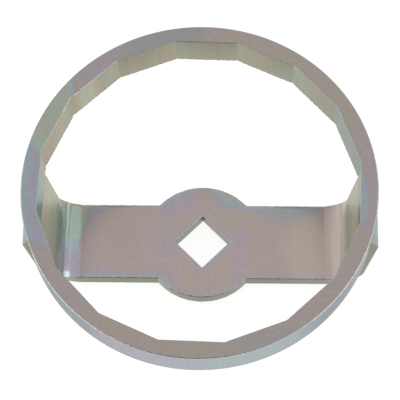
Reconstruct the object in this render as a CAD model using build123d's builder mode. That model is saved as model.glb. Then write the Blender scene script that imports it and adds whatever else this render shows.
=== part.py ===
from build123d import *
import os
from math import cos, radians, sqrt, tan

# Oil filter cap wrench: a thick plate ring with flats inside, welded onto the
# legs of a bent plate strap that carries a square drive hole in its round hub.
#
# Frame: millimetres, +Z up. The origin is on the strap's underside, on the
# axis that the drive hole and the ring share. +X runs along the strap.

# Socket ring
flat_count = 16
across_flats = 98.0  # between opposite flats, the size of the filter cap
ring_wall = 5.5  # from the middle of a flat out to the rim
ring_thickness = 12.5
ring_turn = -1.8  # degrees that the flats are turned from square to the strap
rim_radius = 0.4  # rounding of the rim's top and bottom edges

# Bridge strap
strap_thickness = 5.0
strap_width = 26.0
hub_diameter = 39.0
hub_root_radius = 0.8  # where the hub's outline runs into the strap's sides
drive_square = 12.9  # half-inch square drive with its clearance
socket_depth = 36.8  # from the strap's upper face to the ring's underside
bend_radius = 7.7  # inside the two bends
leg_splay = 6.2  # degrees that each leg leans outwards
leg_cover = 1.7  # how far the ring reaches out over a leg's two inner corners

# Weld groove and bead
groove_depth = 6.0  # down the leg's outer face from the ring's underside
root_land = 1.0  # leg thickness left square against the ring
bead_crown = 0.4  # how far the bead swells beyond a flat fill

# Places worked out from the sizes
ring_bottom = strap_thickness + socket_depth
ring_top = ring_bottom + ring_thickness
ring_radius = across_flats / 2 + ring_wall
half_width = strap_width / 2
leg_seat = sqrt(ring_radius**2 - half_width**2) - leg_cover  # out to the leg, at the ring
groove_floor = ring_bottom - groove_depth
leg_lean = tan(radians(leg_splay))
leg_across = strap_thickness / cos(radians(leg_splay))  # leg thickness, level


def inner_face(height):
    """Distance of a leg's inner face from the axis at this height."""
    return leg_seat + (height - ring_bottom) * leg_lean


def outer_face(height):
    """Distance of a leg's outer face from the axis at this height."""
    return inner_face(height) + leg_across


os.makedirs("parts", exist_ok=True)


# Socket ring: a round blank with the flats cut through it
with BuildPart() as socket_ring:
    with BuildSketch(Plane.XY.offset(ring_bottom)):
        Circle(ring_radius)
        RegularPolygon(
            across_flats / 2,
            flat_count,
            major_radius=False,
            rotation=180 / flat_count + ring_turn,
            mode=Mode.SUBTRACT,
        )
    extrude(amount=ring_thickness)
    fillet(socket_ring.edges().filter_by(GeomType.CIRCLE), rim_radius)

socket_ring.part.label = "socket_ring"
export_step(socket_ring.part, "parts/socket_ring.step")


# Bridge strap: the bent section is run across the hub's width, and then cut
# to the blank's outline. The legs are drawn up to the ring's top and trimmed
# to its underside.
with BuildPart() as bridge_strap:
    with BuildSketch(Plane.XZ):
        with BuildLine():
            FilletPolyline(
                (-inner_face(ring_top), ring_top),
                (-inner_face(strap_thickness), strap_thickness),
                (inner_face(strap_thickness), strap_thickness),
                (inner_face(ring_top), ring_top),
                radius=bend_radius,
            )
            offset(amount=strap_thickness, side=Side.RIGHT)
        make_face()
    extrude(amount=hub_diameter / 2, both=True)
    split(bisect_by=Plane.XY.offset(ring_bottom), keep=Keep.BOTTOM)

    # The blank's outline: a straight strip with the hub, rounded where they meet
    with BuildSketch() as outline:
        Rectangle(2 * outer_face(ring_top), strap_width)
        Circle(hub_diameter / 2)
        hub_corners = outline.vertices().filter_by(
            lambda corner: abs(corner.X) < hub_diameter / 2
        )
        fillet(hub_corners, hub_root_radius)
    extrude(amount=ring_bottom, mode=Mode.INTERSECT)

    # The drive hole stands on its corner
    with BuildSketch():
        Rectangle(drive_square, drive_square, rotation=45)
    extrude(amount=strap_thickness, mode=Mode.SUBTRACT)

    # A bevel on each leg's outer end makes room for the weld
    with BuildSketch(Plane.XZ):
        for side in (-1, 1):
            with BuildLine():
                Polyline(
                    (side * outer_face(groove_floor), groove_floor),
                    (side * (inner_face(ring_bottom) + root_land), ring_bottom),
                    (side * outer_face(ring_top), ring_bottom),
                    close=True,
                )
            make_face()
    extrude(amount=half_width, both=True, mode=Mode.SUBTRACT)

bridge_strap.part.label = "bridge_strap"
export_step(bridge_strap.part, "parts/bridge_strap.step")


def bead_section(along):
    """Right bead's section at this distance along the strap's width.

    It fills the groove from its root to the toe on the leg's outer face, and
    reaches out to the rim, so that the bead follows the ring's curve.
    """
    root = (inner_face(ring_bottom) + root_land, ring_bottom)
    toe = (outer_face(groove_floor), groove_floor)
    rim = (sqrt((ring_radius - rim_radius) ** 2 - along**2), ring_bottom)
    with BuildSketch(Plane.XZ.offset(along)) as section:
        with BuildLine():
            Polyline(rim, root, toe)
            SagittaArc(toe, rim, -bead_crown)
        make_face()
    return section.sketch


# Weld beads: the right one is lofted through its sections, the left mirrors it
with BuildPart() as weld_bead_right:
    loft([bead_section(-half_width), bead_section(0), bead_section(half_width)])

weld_bead_right.part.label = "weld_bead_right"
export_step(weld_bead_right.part, "parts/weld_bead_right.step")

with BuildPart() as weld_bead_left:
    mirror(weld_bead_right.part, about=Plane.YZ)

weld_bead_left.part.label = "weld_bead_left"
export_step(weld_bead_left.part, "parts/weld_bead_left.step")
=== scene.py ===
# %% [markdown]
# # An oil filter cap wrench, dressed in Blender
#
# The wrench is two cut steel plates and two welds. A thick ring has sixteen flats inside, which grip the
# cap of an oil filter. A strap with a square drive hole in its round hub is bent up at both ends, and its
# legs are welded under the ring. The whole thing was zinc plated after welding, and the thin clear film on
# the zinc shimmers from taupe to mauve, blue, teal and khaki.
#
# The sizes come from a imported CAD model, which this script loads first and never changes. It could be shown
# as it is with a better material, but its edges are perfect and its faces are smooth. So each node is
# replaced by a finer surface, worked out from the CAD sizes, with worn edges, cutting lines and weld ripples.

import bmesh
import bpy
import numpy as np
from mathutils import Matrix, Vector


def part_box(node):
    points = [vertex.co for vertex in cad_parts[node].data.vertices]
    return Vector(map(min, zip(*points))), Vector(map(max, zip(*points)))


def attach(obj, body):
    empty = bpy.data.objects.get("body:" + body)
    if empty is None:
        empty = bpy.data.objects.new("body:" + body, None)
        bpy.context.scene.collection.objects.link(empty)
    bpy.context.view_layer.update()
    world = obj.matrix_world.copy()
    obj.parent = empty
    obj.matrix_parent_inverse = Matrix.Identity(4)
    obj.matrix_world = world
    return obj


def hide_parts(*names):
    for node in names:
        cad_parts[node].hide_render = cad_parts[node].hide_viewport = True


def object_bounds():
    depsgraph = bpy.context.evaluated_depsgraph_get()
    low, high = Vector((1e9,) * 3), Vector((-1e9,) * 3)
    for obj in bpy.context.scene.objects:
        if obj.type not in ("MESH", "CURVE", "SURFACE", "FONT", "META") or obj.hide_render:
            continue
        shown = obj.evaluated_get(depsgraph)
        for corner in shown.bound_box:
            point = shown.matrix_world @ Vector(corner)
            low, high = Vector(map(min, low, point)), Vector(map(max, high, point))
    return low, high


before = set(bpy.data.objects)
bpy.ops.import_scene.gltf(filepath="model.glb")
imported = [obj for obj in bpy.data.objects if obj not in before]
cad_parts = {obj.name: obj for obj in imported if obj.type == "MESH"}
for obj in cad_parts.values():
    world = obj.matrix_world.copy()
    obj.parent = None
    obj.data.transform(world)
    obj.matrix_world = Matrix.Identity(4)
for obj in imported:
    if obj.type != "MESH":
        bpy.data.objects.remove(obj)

MM = 0.001
cad_low, cad_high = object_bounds()
print("CAD box in mm:", [round(v / MM, 2) for v in (*cad_low, *cad_high)])

# %% [markdown]
# ## Sizes from the frame
#
# Every size below is measured on the CAD nodes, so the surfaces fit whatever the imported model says. They
# could be typed in a second time, but then a change to the CAD would leave the looks behind. A flat CAD face
# has vertices only at its corners, which makes corners easy to find: they are the lowest, highest, nearest
# or farthest points of a node.


# %% Ring sizes
def node_points(node):
    """All vertices of a CAD node, as rows of x, y, z in metres."""
    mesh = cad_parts[node].data
    points = np.empty(len(mesh.vertices) * 3)
    mesh.vertices.foreach_get("co", points)
    return points.reshape(-1, 3)


NEAR = 0.002 * MM  # two measures closer than this are the same

ring_points = node_points("socket_ring")
from_axis = np.hypot(ring_points[:, 0], ring_points[:, 1])
ring_radius = from_axis.max()
ring_bottom, ring_top = ring_points[:, 2].min(), ring_points[:, 2].max()
rim_radius = ring_radius - from_axis[ring_points[:, 2] > ring_top - NEAR].max()
corner_radius = from_axis.min()
corner_points = ring_points[from_axis < corner_radius + NEAR]
corner_angles = np.unique(np.round(np.arctan2(corner_points[:, 1], corner_points[:, 0]), 4))
flat_count = len(corner_angles)
corner_turn = corner_angles[corner_angles > 0].min()
flats_radius = corner_radius * np.cos(np.pi / flat_count)
print("ring:", flat_count, "flats,", round(2 * flats_radius / MM, 2), "mm across them")

# %% Strap sizes
strap_points = node_points("bridge_strap")
strap_radius = np.hypot(strap_points[:, 0], strap_points[:, 1])
half_width = strap_points[strap_points[:, 0] > cad_high[0] - 8 * MM][:, 1].max()  # at the right leg
hub_radius = strap_radius[strap_points[:, 1] > half_width + 2 * MM].max()  # only the hub is that wide
hole_points = strap_points[strap_radius < hub_radius / 2]
hole_corner = hole_points[:, 0].max()  # from the axis to a corner of the square hole
strap_top = hole_points[:, 2].max()
thickness = strap_top - strap_points[:, 2].min()
print("strap:", round(2 * half_width / MM, 2), "x", round(thickness / MM, 2), "mm")

# %% Bend and leg sizes
side_points = strap_points[abs(strap_points[:, 1] - half_width) < NEAR]
side_x, side_z = abs(side_points[:, 0]), side_points[:, 2]
hub_root = side_x.min()  # where the hub's rounded root meets the straight side
flat_end = side_x[abs(side_z - strap_top) < NEAR].max()  # where the bend begins
leg_seat = side_x[side_z > ring_bottom - NEAR].min()  # leg's inner face, at the ring
inner_points = (side_x < leg_seat - NEAR) & (side_z < ring_bottom - NEAR)
bend_end_z = side_z[inner_points].max()
bend_end_x = side_x[inner_points & (side_z > bend_end_z - NEAR)].max()
splay = np.arctan2(leg_seat - bend_end_x, ring_bottom - bend_end_z)
bend_turn = np.pi / 2 - splay
meeting = leg_seat - (ring_bottom - strap_top) * np.tan(splay)  # inner faces, drawn on to their corner
bend_radius = (meeting - flat_end) / np.tan(bend_turn / 2)
root_radius = (hub_root**2 + half_width**2 - hub_radius**2) / (2 * (hub_radius - half_width))
print("bent on", round(bend_radius / MM, 2), "mm, legs lean", round(np.degrees(splay), 2), "degrees")
print("hub root radius:", round(root_radius / MM, 2), "mm")

# %% Weld sizes
bead_low, bead_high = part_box("weld_bead_right")
groove_root, groove_floor = bead_low.x, bead_low.z
toe_reach = bead_high.x  # the bead's lower edge, on the leg's outer face
print("weld groove:", round((ring_bottom - groove_floor) / MM, 2), "mm deep")

# %% [markdown]
# ## Turning arrays into a mesh
#
# A surface here is a grid of points that numpy works out as a whole array. One way to a mesh is to add
# vertices one at a time with bmesh, which is slow for a hundred thousand of them. Instead the points go in
# at once, and the four corners of each face are worked out as arrays too. A piece may be several grids, like
# the panels of a garment: they share the points of their seams, which are merged, so the piece is closed.


# %% Grids and seams
def grid_faces(rows, columns, wrap_rows, wrap_columns):
    """Corner numbers of a grid's faces.

    Point (r, c) has number r * columns + c. A direction that wraps joins its last line to its first, by
    taking the remainder.
    """
    r = np.arange(rows if wrap_rows else rows - 1)
    c = np.arange(columns if wrap_columns else columns - 1)
    r, c = (side.ravel() for side in np.meshgrid(r, c, indexing="ij"))
    next_c = (c + 1) % columns
    row, next_row = r * columns, (r + 1) % rows * columns
    return np.stack([row + c, row + next_c, next_row + next_c, next_row + c], 1)


NUMBERS = ("rim", "cut", "film", "milk", "pale", "pressed", "rubbed")  # what each vertex carries
SAME_POINT = 0.001 * MM  # points closer than this become one


def make_piece(name, grids):
    """One closed mesh object from several grids, whose seam points become one.

    A grid is a dict. Its points are (rows, columns, 3), and wrap says whether its rows and columns close. The
    materials read the rest, at each point: blank, its place in the flat plate; rim, its distance from the
    nearest cut edge; cut, how far it lies on a cut wall; film, how thick the film is; milk, how cloudy the
    film is; pale, painted light and shade, a share by which the colour is made lighter, or darker below 0;
    pressed, how much the press marked the metal; rubbed, how bare a worn edge is.
    """
    faces = []
    first = 0
    for grid in grids:
        rows, columns = grid["points"].shape[:2]
        faces.append(grid_faces(rows, columns, *grid["wrap"]) + first)
        first += rows * columns

    mesh = bpy.data.meshes.new(name)
    points = np.concatenate([grid["points"].reshape(-1, 3) for grid in grids])
    mesh.from_pydata(points, [], np.concatenate(faces))
    blank = np.concatenate([grid.get("blank", grid["points"]).reshape(-1, 3) for grid in grids])
    mesh.attributes.new("blank", "FLOAT_VECTOR", "POINT").data.foreach_set("vector", blank.ravel())
    for key in NUMBERS:
        values = [np.broadcast_to(grid.get(key, 0.0), grid["points"].shape[:2]).ravel() for grid in grids]
        mesh.attributes.new(key, "FLOAT", "POINT").data.foreach_set("value", np.concatenate(values))

    joined = bmesh.new()
    joined.from_mesh(mesh)
    bmesh.ops.remove_doubles(joined, verts=joined.verts, dist=SAME_POINT)
    bmesh.ops.recalc_face_normals(joined, faces=joined.faces)
    open_edges = sum(not edge.is_manifold for edge in joined.edges)
    joined.to_mesh(mesh)
    joined.free()
    mesh.shade_smooth()

    piece = bpy.data.objects.new(name, mesh)
    bpy.context.scene.collection.objects.link(piece)
    triangles = sum(len(face.vertices) - 2 for face in mesh.polygons)
    print(name, "has", triangles, "triangles,", open_edges, "open edges")
    return piece


# %% [markdown]
# ## Wear that repeats the same way each time
#
# A cut edge is never even: the cut leaves it a little wider here and narrower there, and that is what breaks
# the bright line along it into glints. Random numbers per vertex would look like static. A sum of cosines
# with random speeds and starts gives soft bumps of a chosen length instead, and a seeded generator makes the
# same bumps in every run.

# %% Soft random bumps
WAVE_COUNT = 12


def ripple(along, lengths, seed):
    """Soft random bumps along a line, with a spread of about one.

    The sum of cos(2 pi * along / length + start) over twelve lengths between the two given, each with a
    random start, divided by the square root of six.
    """
    chance = np.random.default_rng(seed)
    wave_lengths = chance.uniform(*lengths, WAVE_COUNT)
    starts = chance.uniform(0, 2 * np.pi, WAVE_COUNT)
    waves = np.cos(2 * np.pi * np.asarray(along)[..., None] / wave_lengths + starts)
    return waves.sum(-1) / np.sqrt(WAVE_COUNT / 2)


def ring_ripple(turn, waves, seed):
    """Soft random bumps round a circle: as ripple, but with whole numbers of waves, so that the ends meet."""
    chance = np.random.default_rng(seed)
    counts = chance.integers(*waves, WAVE_COUNT)
    starts = chance.uniform(0, 2 * np.pi, WAVE_COUNT)
    return np.cos(np.asarray(turn)[..., None] * counts + starts).sum(-1) / np.sqrt(WAVE_COUNT / 2)


def soft_step(value, start, end):
    """0 up to start and 1 from end on, with the smooth curve 3 t^2 - 2 t^3 in between."""
    share = np.clip((value - start) / (end - start), 0, 1)
    return share * share * (3 - 2 * share)


print("bumps are sums of", WAVE_COUNT, "waves")

# %% Worn edges
ROUND_STEPS = 4  # points round each worn edge


def worn_edge():
    """A quarter circle from a face (first point) to a wall (last point).

    Gives the distance from the wall, 1 - sin(angle), the distance from the face, 1 - cos(angle), and how far
    it lies on the wall, sin(angle), each as a share of the edge's radius.
    """
    angle = np.linspace(0, np.pi / 2, ROUND_STEPS + 1)
    return 1 - np.sin(angle), 1 - np.cos(angle), np.sin(angle)


print("worn edges have", ROUND_STEPS + 1, "points")

# %% [markdown]
# ## The ring
#
# The ring was cut out of thick plate: its rim is a circle and its inside is a sixteen-sided figure. A
# boolean of a cylinder and a prism gives that shape, but with long thin faces that can't carry any wear.
# Here the ring is a closed section carried round the axis. In each direction the flat lies at
# r = (half the size across flats) / cos(angle from the flat's middle), the rim is a circle, and every point
# of the section is set from one of those two.

# %% Ring directions
RING_STEPS = 100  # points along each flat

turn = corner_turn + 2 * np.pi * np.arange(flat_count * RING_STEPS) / (flat_count * RING_STEPS)
from_middle = (turn - corner_turn) % (2 * np.pi / flat_count) - np.pi / flat_count
from_corner = (np.pi / flat_count - abs(from_middle)) * flats_radius
print("ring is worked out in", len(turn), "directions")

# %% Ring wear
RIM_MEAN, RIM_SPREAD = 0.86, 0.04  # size of the rim's rounding, as a share of the CAD's, and how uneven it is
JAGGED_FRONT = ((-98, 34, 8, 0.16),)  # where the rim is more uneven, and by how much
FLAT_WEAR = 0.19 * MM
BREAKOUT_WEAR = 0.18 * MM  # lower edge of the flats, where the cut broke through
CORNER_BREAKOUT = 0.40 * MM  # more came away where the cut turned from one flat to the next
CORNER_REACH = 0.8 * MM  # how far along a flat that reaches
CUT_LINE_DEPTH = 0.012 * MM
CUT_WANDER = 0.05 * MM  # how far the cut strays at the lower edge


def round_patches(azimuth, patches):
    """The sum of soft-edged patches round the ring, given as middle, half width, softness and strength.

    A patch is full out to half width - softness from its middle, and fades with soft_step to nothing at half
    width + softness. All but the strength are in degrees.
    """
    total = np.zeros(azimuth.shape)
    for middle, half, soft, strength in patches:
        off = abs((azimuth - middle + 180) % 360 - 180)
        total += strength * (1 - soft_step(off, half - soft, half + soft))
    return total


def uneven(mean, spread, waves, seed):
    """A share in each direction: mean + spread * soft bumps from -1 to 1, so many waves round the ring."""
    return mean + spread * np.clip(ring_ripple(turn, waves, seed), -1, 1)


jagged = RIM_SPREAD + round_patches(np.degrees(turn), JAGGED_FRONT)
rim_wear = rim_radius * uneven(RIM_MEAN, jagged, (90, 500), seed=3)
flat_wear = FLAT_WEAR * uneven(1, 0.4, (90, 500), seed=5)
breakout = BREAKOUT_WEAR * uneven(1, 0.6, (60, 300), seed=6)
breakout += CORNER_BREAKOUT * np.exp(-((from_corner / CORNER_REACH) ** 2))
breakout *= uneven(0.7, 0.3, (5, 40), seed=7)
cut_lines = CUT_LINE_DEPTH * uneven(1, 1, (200, 600), seed=8)
cut_wander = CUT_WANDER * uneven(1, 1, (40, 260), seed=9)
print("rim is rounded by", round(rim_wear.min() / MM, 2), "to", round(rim_wear.max() / MM, 2), "mm")

# %% The ring's section
FACE_SHARES = np.array([0.03, 0.08, 0.16, 0.3, 0.5, 0.7, 0.84, 0.92, 0.97])  # across a face, flat to rim
DOWN_RIM = np.linspace(0.9, 0.1, 6)  # down the rim, as shares of the ring's thickness
UP_FLAT = np.linspace(0.06, 0.94, 10)  # and up a flat


def to_nearer_end(share):
    """How far a share of a length lies from the length's nearer end."""
    return np.minimum(share, 1 - share)


def ring_section():
    """The ring's closed section, as radius, height, cut and rim distance for each direction and point.

    It starts at the top of the flat and runs out over the upper face, down the rim, back under the lower face
    and up the flat. A worn edge is a quarter circle, whose radius changes from one direction to the next. On
    the flat, at a share u of its height, the cut lies back by line * sin(pi u)^0.5 + wander * (1 - u)^2.
    """
    inset, drop, on_wall = worn_edge()
    flat = (flats_radius / np.cos(from_middle))[:, None]
    low_flat = flat + cut_wander[:, None]
    rim = np.full_like(flat, ring_radius)
    top_wear, low_wear, rim_edge = flat_wear[:, None], breakout[:, None], rim_wear[:, None]
    tall = ring_top - ring_bottom

    top_width = (rim - rim_edge) - (flat + top_wear)
    low_width = (rim - rim_edge) - (low_flat + low_wear)
    low_shares = FACE_SHARES[::-2]
    cut_back = cut_lines[:, None] * np.sin(np.pi * UP_FLAT) ** 0.5
    cut_back += cut_wander[:, None] * (1 - UP_FLAT) ** 2
    parts = (
        (flat + top_wear * inset[::-1], ring_top - top_wear * drop[::-1], on_wall[::-1], 0),
        (flat + top_wear + top_width * FACE_SHARES, ring_top, 0, top_width * to_nearer_end(FACE_SHARES)),
        (rim - rim_edge * inset, ring_top - rim_edge * drop, on_wall, 0),
        (rim, ring_bottom + tall * DOWN_RIM, 1, tall * to_nearer_end(DOWN_RIM)),
        (rim - rim_edge * inset[::-1], ring_bottom + rim_edge * drop[::-1], on_wall[::-1], 0),
        (low_flat + low_wear + low_width * low_shares, ring_bottom, 0, low_width * to_nearer_end(low_shares)),
        (low_flat + low_wear * inset, ring_bottom + low_wear * drop, on_wall, 0),
        (flat + cut_back, ring_bottom + tall * UP_FLAT, 1, tall * to_nearer_end(UP_FLAT)),
    )
    stacked = [np.stack(np.broadcast_arrays(*part), -1) for part in parts]
    return np.moveaxis(np.concatenate(stacked, axis=1), -1, 0)


radius, height, ring_cut, ring_rim = ring_section()
ring_grid = np.stack([radius * np.cos(turn)[:, None], radius * np.sin(turn)[:, None], height], -1)
print("ring section has", radius.shape[1], "points")

# %% [markdown]
# ### Where the film on the ring changes colour
#
# The clear film over the zinc is thinner than a wavelength of light, and its colour depends on how thick it
# is: taupe and mauve where it is thin, then purple, blue, teal, green-grey and khaki. It ran and pooled
# while the wrench hung in the bath, so the colours change in soft patches. The patches could be painted, but
# a painted picture doesn't survive a change of size. Instead the film is a number at each vertex, made of a
# few soft hills, and a colour ramp turns it into colour later. The rim took a thicker film
# than the faces, and the flats thicker still.
#
# Three more numbers are laid out in the same way. Milk is how far a cloudy grey hides the film's colour, pale
# is painted light and shade, patches where the colour is made lighter, or darker where it is below 0, and
# rubbed how bare the worn edges are.


# %% Patches on the ring
def film_patches(x, y, patches):
    """How strong these patches of film are at a place in the flat plate.

    The sum of one flat-topped hill for each patch: strength * exp(-d^4), where d^2 is
    ((x - its x) / reach along)^2 + ((y - its y) / reach across)^2, in mm.
    """
    film = np.zeros(np.broadcast(x, y).shape)
    for patch_x, patch_y, reach_x, reach_y, strength in patches:
        off_x, off_y = (x / MM - patch_x) / reach_x, (y / MM - patch_y) / reach_y
        film += strength * np.exp(-((off_x**2 + off_y**2) ** 2))
    return film


RING_PATCHES = (  # middle and half width round the ring and softness, in degrees, and strength
    (127, 13, 7, 0.19),
    (153.5, 11.5, 2.5, 0.72),
    (176, 11, 4, 0.35),
    (-165, 7.5, 4, 0.33),
    (-143, 13, 8, 0.10),
    (-52, 28, 12, 0.06),
    (0, 13, 7, 0.13),
    (100, 15, 8, 0.08),
)
INNER_PATCHES = ((49.4, -5, 2.3, 9, 0.32), (48.4, 12, 1.6, 9, 0.14))  # x, y, reach in x and y, strength
OUTWARD_PATCH = ((172, 26, 8, 1.0),)  # where the film is also thicker towards the rim
RIM_PATCHES = (
    (-142, 14, 8, 0.10),
    (-108, 9, 6, -0.10),
    (-74, 15, 8, 0.12),
    (-40, 16, 8, 0.10),
    (-168, 8, 5, -0.20),
    (0, 9, 5, 0.50),
)
FLAT_PATCHES = (
    (20, 14, 4, -0.16),
    (160, 5, 3, 0.10),
    (184, 8, 3, -0.20),
    (110, 10, 5, 0.05),
    (49, 9, 4, -0.04),
)
MILKY_PATCHES = ((103, 13, 7, 0.85), (-70, 9, 8, 0.35), (153, 10, 3, 0.25))
# painted light and shade on the rim and on the flats: patches where the colour is made lighter, and darker
# where the strength is below 0
PAINTED_LIGHT_RIM = ((-88, 36, 9, 0.42), (-158, 18, 7, -0.20), (0, 12, 6, -0.30))
PAINTED_LIGHT_FLATS = ((138, 6, 3, 0.26), (163, 14, 6, 0.12), (184, 8, 3, 0.15))
RUBBED_RIM = ((-148, 34, 10, 0.62), (-22, 36, 12, 0.68), (-98, 26, 10, 0.45))
RUBBED_FLATS = ((139, 12, 2, 0.90), (158, 8, 3, 0.35), (92, 36, 6, 0.20), (30, 30, 8, 0.15))
print("patches of film on the ring:", len(RING_PATCHES + INNER_PATCHES + RIM_PATCHES + FLAT_PATCHES))

# %% The ring's film
ON_FACE, ON_RIM, ON_FLATS = 0.03, 0.42, 0.86  # film between the patches
RIM_DEPTH = 2 * MM  # a wall closer to the rim's radius than this is the rim's
FACE_MIDDLE = 52  # mean radius of the upper face, in mm
STRAY = 0.9  # degrees that the borders of patches stray
SLANT = 1.2  # degrees that the borders lean for each mm outwards
SLANT_TURNS = 60  # from this azimuth on they lean the other way
THICKER_OUTWARDS = 0.025  # for each mm
RIM_BANDS, FLAT_BANDS = 0.04, 0.025
RIM_MILK = 0.4

outside = radius > ring_radius - RIM_DEPTH
on_top, on_rim, on_flat = 1 - ring_cut, ring_cut * outside, ring_cut * ~outside
azimuth = np.degrees(turn)[:, None] + STRAY * ring_ripple(turn, (3, 40), 11)[:, None]
past_middle = radius / MM - FACE_MIDDLE
slanted = azimuth + SLANT * past_middle * np.sign(np.sin(np.radians(azimuth - SLANT_TURNS)))
outward = np.clip(past_middle, -2, 2) * round_patches(slanted, OUTWARD_PATCH)
rim_bands = RIM_BANDS * ring_ripple(turn, (3, 14), 12)[:, None]
flat_bands = FLAT_BANDS * ring_ripple(turn, (6, 40), 13)[:, None]

ring_film = on_top * (ON_FACE + round_patches(slanted, RING_PATCHES) + THICKER_OUTWARDS * outward)
ring_film += on_top * film_patches(ring_grid[..., 0], ring_grid[..., 1], INNER_PATCHES)
ring_film += on_rim * (ON_RIM + round_patches(azimuth, RIM_PATCHES) + rim_bands)
ring_film += on_flat * (ON_FLATS + round_patches(azimuth, FLAT_PATCHES) + flat_bands)
ring_milk = on_top * round_patches(slanted, MILKY_PATCHES) + RIM_MILK * on_rim
# painted light and shade on the ring, read by the material as pale
ring_painted_light = on_rim * round_patches(azimuth, PAINTED_LIGHT_RIM) + on_flat * round_patches(azimuth, PAINTED_LIGHT_FLATS)
ring_rubbed = np.where(outside, round_patches(azimuth, RUBBED_RIM), round_patches(azimuth, RUBBED_FLATS))
print("film on the ring from", round(ring_film.min(), 2), "to", round(ring_film.max(), 2))

# %% Make the ring
socket_ring = make_piece(
    "plated_socket_ring",
    [
        {
            "points": ring_grid,
            "wrap": (True, True),
            "rim": ring_rim,
            "cut": ring_cut,
            "film": ring_film,
            "milk": ring_milk,
            "pale": ring_painted_light,
            "rubbed": ring_rubbed,
        }
    ],
)

# %% [markdown]
# ## The strap
#
# The strap began as a flat blank: a straight strip with a round hub and a square hole, cut from 5 mm plate.
# A press then bent its ends up. It is made the same way here. Every point has a place in the flat blank,
# along, across and down through the plate, and one function bends the blank into the strap. Cutting marks
# and film colours are laid out on the flat blank, so they follow the metal round the bends.
#
# The hub and the arms need different grids. Round the hub, the lines run out from the square hole to the
# outline. In the arms, a closed section is carried along the strap. They meet at two straight seams.

# %% Bend the blank
middle_radius = bend_radius + thickness / 2
leg_start = flat_end + bend_turn * middle_radius  # along the blank, where the bend ends
SWELL = 0.025  # how far a bend's squeezed inner side swells out, as a share of the half width


def bend(along, across, depth):
    """Where a point of the flat blank lies on the bent strap.

    Along is the distance from the middle, across the distance to the back, depth the distance down from the
    upper face. Up to the bend, x = along. In the bend, the point turns about the bend's centre at radius
    (bend radius + depth), by the angle (length into the bend) / (radius at mid thickness). In the leg it goes
    on straight. Where the plate is bent, its inner side is squeezed and swells out at the edges, and its
    outer side is drawn in.
    """
    beyond = np.maximum(abs(along) - flat_end, 0)
    angle = np.minimum(beyond / middle_radius, bend_turn)
    straight = np.maximum(beyond - bend_turn * middle_radius, 0)
    reach = bend_radius + depth
    x = np.minimum(abs(along), flat_end) + reach * np.sin(angle) + straight * np.cos(bend_turn)
    z = strap_top + bend_radius - reach * np.cos(angle) + straight * np.sin(bend_turn)
    squeeze = np.sin(np.pi * angle / bend_turn) * (1 - 2 * depth / thickness)
    y = across * (1 + SWELL * squeeze * (across / half_width) ** 6)
    return np.stack(np.broadcast_arrays(np.sign(along) * x, y, z), -1)


def leg_end(depth):
    """How far along the blank a leg ends, at this depth.

    The end is level with the ring's underside from the inner face to the groove's root, and falls in a
    straight line to the groove's floor at the outer face. The length that reaches a height is
    (height - height of the bend's centre + radius * cos(bend)) / sin(bend).
    """
    root_depth = (groove_root - leg_seat) * np.cos(splay)
    into_groove = np.clip((depth - root_depth) / (thickness - root_depth), 0, 1)
    height = ring_bottom - (ring_bottom - groove_floor) * into_groove
    rise = height - strap_top - bend_radius + (bend_radius + depth) * np.cos(bend_turn)
    return leg_start + rise / np.sin(bend_turn)


corner = bend(leg_end(np.array(0.0)), half_width, 0.0) / MM
print("inner corner of the right leg:", np.round(corner, 3))

# %% Cut edges of the blank
SEAM = 24 * MM  # from the middle to the seam between hub and arm
EDGE_WEAR, EDGE_SPREAD = 0.30 * MM, 0.3  # radius of the worn edges, and how uneven it is
HOLE_WEAR = 0.22 * MM
ACROSS_STEPS = 26  # faces across the strap
WALL_SHARES = np.linspace(0, 1, 7)[1:-1]  # down a cut wall, between its worn edges


def edge_wear(along, side):
    """Radius of the worn edges of the front (side -1) or back (side 1) outline."""
    return EDGE_WEAR * (1 + EDGE_SPREAD * np.clip(ripple(along, (0.8 * MM, 5 * MM), 20 + side), -1, 1))


def edge_profile(wear):
    """A cut wall with its two worn edges, from the upper face to the lower one.

    Gives the distance in from the outline, the depth below the upper face and the share of cut wall. Each
    edge is a quarter circle, and the wall between them is straight.
    """
    wear = np.asarray(wear)[..., None]
    inset, drop, on_wall = worn_edge()
    insets = np.concatenate([wear * inset, wear * 0 * WALL_SHARES, wear * inset[::-1]], -1)
    wall = wear + (thickness - 2 * wear) * WALL_SHARES
    depths = np.concatenate([wear * drop, wall, thickness - wear * drop[::-1]], -1)
    shares = np.concatenate([on_wall, np.ones_like(WALL_SHARES), on_wall[::-1]])
    return insets, depths, np.broadcast_to(shares, insets.shape)


def face_lines(along):
    """Points across a face from its front edge to its back one, at each distance along the strap."""
    front, back = half_width - edge_wear(along, -1), half_width - edge_wear(along, 1)
    steps = np.linspace(0, 1, ACROSS_STEPS + 1)
    return -front[..., None] + (front + back)[..., None] * steps


def outline_distance(along, across):
    """Distance in from the nearest cut edge of the blank: the outline or the square hole."""
    radius = np.hypot(along, across)
    from_outline = np.maximum(hub_radius - radius, half_width - abs(across))
    from_hole = (abs(along) + abs(across) - hole_corner) / np.sqrt(2)
    return np.maximum(np.minimum(from_outline, from_hole), 0)


print("strap's worn edges are about", EDGE_WEAR / MM, "mm")

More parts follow.
